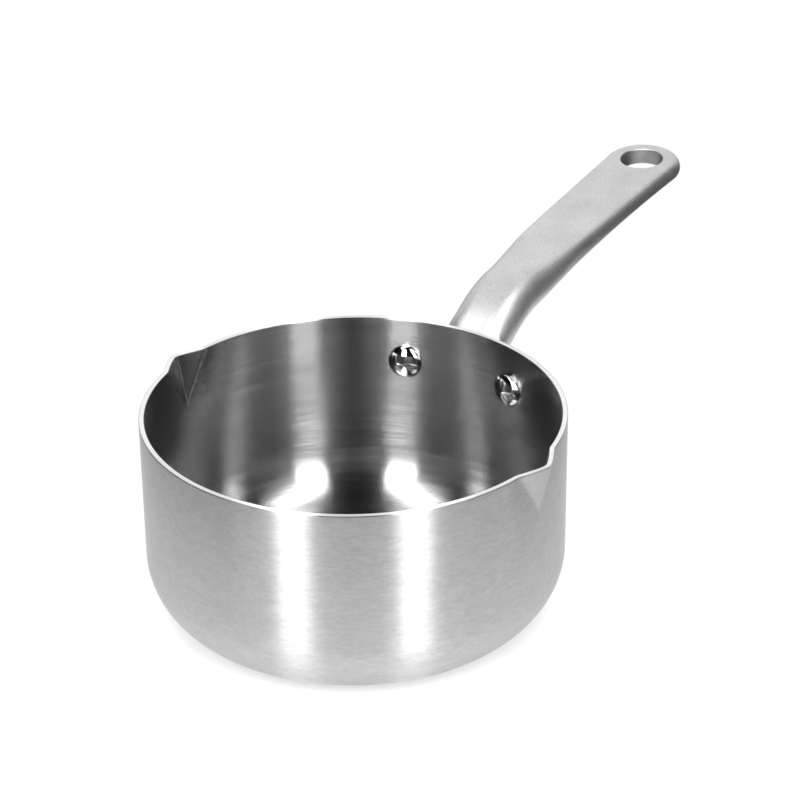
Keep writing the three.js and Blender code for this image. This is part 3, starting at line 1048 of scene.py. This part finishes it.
        depth = self.handle.end_depth
        top_mouth, belly_mouth = circle(radius + mouth, 0.0), circle(radius + mouth, depth)
        outer_top = [self.verts[n] for n in top_loop]
        outer_belly = [self.verts[n] for n in belly_loop]
        rows = [between(outer_top, top_mouth, part) for part in spread(0.0, 1.0, FACE_STEPS, 1)]
        for turn in quarter(MOUTH_STEPS, 1):
            rows.append(circle(radius + mouth * (1 - math.sin(turn)), mouth * (1 - math.cos(turn))))
        bore_start = len(rows)
        rows += [circle(radius, down) for down in spread(mouth, depth - mouth, HOLE_STEPS, 1)]
        bore_end = len(rows)
        for turn in quarter(MOUTH_STEPS, 1):
            rows.append(circle(radius + mouth * (1 - math.cos(turn)), depth - mouth * (1 - math.sin(turn))))
        rows += [between(belly_mouth, outer_belly, part) for part in spread(0.0, 1.0, FACE_STEPS, 1)[:-1]]
        last = top_loop
        for i, row in enumerate(rows):
            here = self.add(row)
            if i == bore_start:
                self.bore = range(len(self.faces), len(self.faces) + (bore_end - bore_start) * len(row))
            self.skin(last, here, True)
            last = here
        self.skin(last, belly_loop, True)

    def end(self, ring, stop):
        """The rounded end with its hole, joined on to the last ring of the bar."""
        count = len(ring)
        first, flank_end = TOP_STEPS, TOP_STEPS + EDGE_STEPS + FLANK_STEPS
        middle = flank_end + TOP_STEPS
        near = [ring[i] for i in range(first, flank_end + 1)]
        far = [ring[-i % count] for i in range(first, flank_end + 1)]
        start = stop - self.handle.bar_run
        alongs = spread(start, 0.0, SIDE_STEPS, 1)[:-1]
        bands = [near] + [self.end_band(a, RIGHT_ANGLE) for a in alongs]
        bands += [self.end_band(0.0, facing) for facing in spread(RIGHT_ANGLE, -RIGHT_ANGLE, END_STEPS)]
        bands += [self.end_band(a, -RIGHT_ANGLE) for a in reversed(alongs)] + [far]
        for band, following in zip(bands, bands[1:]):
            self.skin(band, following, False)
        top_loop = [ring[i] for i in range(first)] + [band[0] for band in bands]
        top_loop += [ring[-i % count] for i in range(first - 1, 0, -1)]
        belly_loop = [ring[i] for i in range(middle, flank_end, -1)] + [band[-1] for band in bands]
        belly_loop += [ring[-i % count] for i in range(flank_end + 1, middle)]
        self.hole_rings(top_loop, belly_loop)

    def mesh(self, name):
        """The whole handle as one closed skin."""
        reach = self.face + self.handle.fillet + FILLET_ROOM
        stop = self.handle.bar_run - self.handle.hole / 2 - 2 * self.handle.edge
        rings = self.root_rings(reach) + self.fan_rings(reach) + self.bar_rings(stop)
        for ring, following in zip(rings, rings[1:]):
            self.skin(ring, following, True)
        self.end(rings[-1], stop)
        made = bpy.data.meshes.new(name)
        made.from_pydata(self.verts, [], self.faces)
        made.shade_smooth()
        made.validate()
        return made


class SAUCEPAN_OT_handle(bpy.types.Operator):
    """Makes the cast handle with its flange and hang hole"""

    bl_idname = "saucepan.handle"
    bl_label = "Handle"

    def execute(self, context):
        scene = context.scene
        finish = scene.saucepan_finish
        form = HandleForm(scene.saucepan_body, scene.saucepan_handle, scene.saucepan_rivet)
        piece = linked("cast_handle", form.mesh("cast_handle"))
        # The second material is the satin handle steel made darker: painted shade on the hang hole's wall.
        for name, colour in (("satin_handle", finish.handle), ("bore_painted_shade", finish.bore)):
            satin = grained_steel(name, colour, finish.handle_roughness, **SATIN_GRAIN)
            piece.data.materials.append(satin)
        for number in form.bore:
            piece.data.polygons[number].material_index = 1
        joined(piece, "handle_steel", "handle")
        return {"FINISHED"}


# Studio: the camera's place, its axes to the right and up, and its lens
CAMERA_PLACE = Vector((-0.73174, -0.49049, 0.5475))
CAMERA_RIGHT = Vector((0.53618, -0.84406, -0.00914))
CAMERA_UP = Vector((0.39639, 0.24222, 0.88555))
CAMERA_LENS = 120.14
CAMERA_SENSOR = 36.0
# Level directions from the pan towards the camera and to the camera's right
STUDIO_FRONT = Vector((-0.8415, -0.5403, 0.0))
STUDIO_RIGHT = Vector((0.5403, -0.8415, 0.0))
WHITE = (1, 1, 1, 1)
BLACK = (0.01, 0.01, 0.01, 1)
# How far the floor reaches, and distances from the pan over which the shadow on it fades out
FLOOR_REACH = 6
SHADOW_REACH = (0.10, 0.26)
# Strip lamps on either side: one end and the other end of each, and its width
LAMPS = (
    ("front", (0.215, 0.335, 0.50), (0.270, 0.50, 0.12), 0.146),
    ("top", (0.240, -0.10, 0.60), (0.20, 0.30, 0.50), 0.15),
)
# Black cloth upright round the camera's side: its bearings, distance and height
WALL_BEARINGS = (-135, 135)
WALL_REACH = 2.4
WALL_HEIGHT = 2.4
# Black cloth overhead: its height, and its corners to the right and to the front
CEILING_HEIGHT = 2.3
CEILING_CORNERS = ((-2.6, -0.8), (2.6, -0.8), (2.6, 2.6), (-2.6, 2.6))
# Cloths on the floor round the pan: their bearings from the camera's side and their tones,
# then where they start and end, and how high they lie
GROUNDS = (
    ("front_ground", "grey_cloth", (-55, 80), 0.55),
    ("side_ground", "dark_cloth", (80, 305), 0.05),
)
GROUND_START = 0.27
GROUND_END = 2.4
GROUND_LIFT = 0.001


def studio_point(right, front, up):
    """A point of the studio, from the pan's base: to the camera's right, towards the camera, up."""
    return STUDIO_RIGHT * right + STUDIO_FRONT * front + Vector((0, 0, up))


def stage_mesh(name, points, faces, material):
    """A piece of the stage."""
    mesh = bpy.data.meshes.new(name)
    mesh.from_pydata([p[:] for p in points], [], faces)
    mesh.materials.append(material)
    made = linked(name, mesh)
    return made


def seen_rays(tree):
    """1 where a ray comes from the camera or from a mirror or glass, 0 for the light on the floor."""
    path = place(tree, "ShaderNodeLightPath").outputs
    both = sums(tree, "MAXIMUM", path["Is Camera Ray"], path["Is Glossy Ray"])
    return sums(tree, "MAXIMUM", both, path["Is Transmission Ray"])


def floor_material(studio):
    """A pale floor that shows white and keeps a faint shadow."""
    made, tree = bare_material("pale_floor")
    matt = place(tree, "ShaderNodeBsdfDiffuse", {"Color": (*studio.floor, 1)})
    white = place(tree, "ShaderNodeEmission", {"Color": WHITE, "Strength": 1.0})
    spot = place(tree, "ShaderNodeTexCoord").outputs["Object"]
    away = place(tree, "ShaderNodeVectorMath", {0: spot}, operation="LENGTH").outputs["Value"]
    veil = sums(tree, "MULTIPLY", seen_rays(tree), ranged(tree, away, studio.veil, 1.0, *SHADOW_REACH))
    surface(tree, "ShaderNodeMixShader", {0: veil, 1: matt.outputs[0], 2: white.outputs[0]})
    return made


def dark_material():
    """Black cloth that keeps the room out of the reflections."""
    made, tree = bare_material("black_cloth")
    cloth = {"Base Color": BLACK, "Roughness": 1.0, "Specular IOR Level": 0.0}
    surface(tree, "ShaderNodeBsdfPrincipled", cloth)
    return made


def glowing_material(name, level):
    """Cloth of an even tone, whatever light falls on it."""
    made, tree = bare_material(name)
    surface(tree, "ShaderNodeEmission", {"Color": WHITE, "Strength": level})
    return made


def soft_lamp(name, start, end, width, power):
    """A soft rectangular lamp along a line through the studio, which faces down from it."""
    lamp = bpy.data.lights.new(name, "AREA")
    lamp.shape = "RECTANGLE"
    lamp.size, lamp.size_y = (end - start).length, width
    lamp.energy = power
    made = bpy.data.objects.new(name, lamp)
    bpy.context.scene.collection.objects.link(made)
    along = (end - start).normalized()
    across = Vector((0, 0, 1)).cross(along).normalized()
    turn = Matrix((along, across, along.cross(across))).transposed().to_4x4()
    made.matrix_world = Matrix.Translation((start + end) / 2) @ turn
    made.visible_camera = False


class SAUCEPAN_OT_studio(bpy.types.Operator):
    """Sets up the floor, the lamps, the backdrop and the camera"""

    bl_idname = "saucepan.studio"
    bl_label = "Studio"

    def execute(self, context):
        scene = context.scene
        studio = scene.saucepan_studio
        reach = FLOOR_REACH
        corners = [(-reach, -reach, 0), (reach, -reach, 0), (reach, reach, 0), (-reach, reach, 0)]
        stage_mesh("floor", corners, [(0, 1, 2, 3)], floor_material(studio))
        self.flags()
        powers = {"front": studio.front_power, "top": studio.top_power}
        for kind, start, end, width in LAMPS:
            for side, name in ((-1, "left"), (1, "right")):
                near, far = (studio_point(side * right, front, up) for right, front, up in (start, end))
                soft_lamp(f"{name}_{kind}_strip", near, far, width, powers[kind])
        self.world(scene, studio)
        self.camera(scene)
        scene.view_settings.view_transform = "Standard"
        return {"FINISHED"}

    def flags(self):
        """Cloth round the camera's side, overhead and on the floor, seen only in the metal."""
        black = dark_material()
        upright = ((WALL_REACH, 0.0), (WALL_REACH, WALL_HEIGHT))
        level = ((GROUND_END, GROUND_LIFT), (GROUND_START, GROUND_LIFT))
        corners = [studio_point(right, front, CEILING_HEIGHT) for right, front in CEILING_CORNERS]
        cloths = [
            self.band("black_wall", WALL_BEARINGS, upright, black),
            stage_mesh("black_ceiling", corners, [(0, 1, 2, 3)], black),
        ]
        for name, cloth, bearings, tone in GROUNDS:
            cloths.append(self.band(name, bearings, level, glowing_material(cloth, tone)))
        for cloth in cloths:
            cloth.visible_camera = False
            cloth.visible_diffuse = False
            cloth.visible_shadow = False

    @staticmethod
    def band(name, bearings, edges, material):
        """Cloth round the pan, between two bearings and two edges, each at a distance and a height."""
        points, faces = [], []
        for i, bearing in enumerate(spread(*bearings, CLOTH_STEPS)):
            turn = math.radians(bearing)
            for reach, up in edges:
                points.append(studio_point(reach * math.sin(turn), reach * math.cos(turn), up))
            if i:
                faces.append((2 * i - 2, 2 * i, 2 * i + 1, 2 * i - 1))
        return stage_mesh(name, points, faces, material)

    def world(self, scene, studio):
        """A white backdrop for the camera and the metal, and a softer fill for the floor."""
        world = bpy.data.worlds.new("backdrop")
        world.use_nodes = True
        tree = world.node_tree
        background = tree.nodes["Background"]
        background.inputs["Color"].default_value = WHITE
        tree.links.new(ranged(tree, seen_rays(tree), studio.fill, 1.0), background.inputs["Strength"])
        scene.world = world

    def camera(self, scene):
        """The camera, at the photo's point of view."""
        lens = bpy.data.cameras.new("camera")
        lens.lens = CAMERA_LENS
        lens.sensor_width = CAMERA_SENSOR
        made = bpy.data.objects.new("camera", lens)
        scene.collection.objects.link(made)
        back = CAMERA_RIGHT.cross(CAMERA_UP)
        turn = Matrix((CAMERA_RIGHT, CAMERA_UP, back)).transposed().to_4x4()
        made.matrix_world = Matrix.Translation(CAMERA_PLACE) @ turn
        scene.camera = made


class SAUCEPAN_PT_panel(bpy.types.Panel):
    """Lists the saucepan's pieces and sizes."""

    bl_idname = "SAUCEPAN_PT_panel"
    bl_label = "Saucepan"
    bl_space_type = "VIEW_3D"
    bl_region_type = "UI"
    bl_category = "Saucepan"

    def draw(self, context):
        for operator in OPERATORS:
            self.layout.operator(operator.bl_idname)
        for name, group in GROUPS.items():
            box = self.layout.box()
            box.label(text=group.__doc__)
            for key in group.__annotations__:
                box.prop(getattr(context.scene, name), key)


GROUPS = {
    "saucepan_body": SaucepanBodySizes,
    "saucepan_handle": SaucepanHandleSizes,
    "saucepan_rivet": SaucepanRivetSizes,
    "saucepan_finish": SaucepanFinishes,
    "saucepan_studio": SaucepanStudio,
}
OPERATORS = (SAUCEPAN_OT_body, SAUCEPAN_OT_handle, SAUCEPAN_OT_rivets, SAUCEPAN_OT_studio)
CLASSES = (*GROUPS.values(), *OPERATORS, SAUCEPAN_PT_panel)


def register():
    for made in CLASSES:
        bpy.utils.register_class(made)
    for name, group in GROUPS.items():
        setattr(bpy.types.Scene, name, bpy.props.PointerProperty(type=group))


def unregister():
    for name in GROUPS:
        delattr(bpy.types.Scene, name)
    for made in reversed(CLASSES):
        bpy.utils.unregister_class(made)


def main():
    register()
    turned_tree()
    brushed_group()
    grain_group()
    bpy.ops.saucepan.body()
    bpy.ops.saucepan.handle()
    bpy.ops.saucepan.rivets()
    bpy.ops.saucepan.studio()


if __name__ == "__main__":
    main()
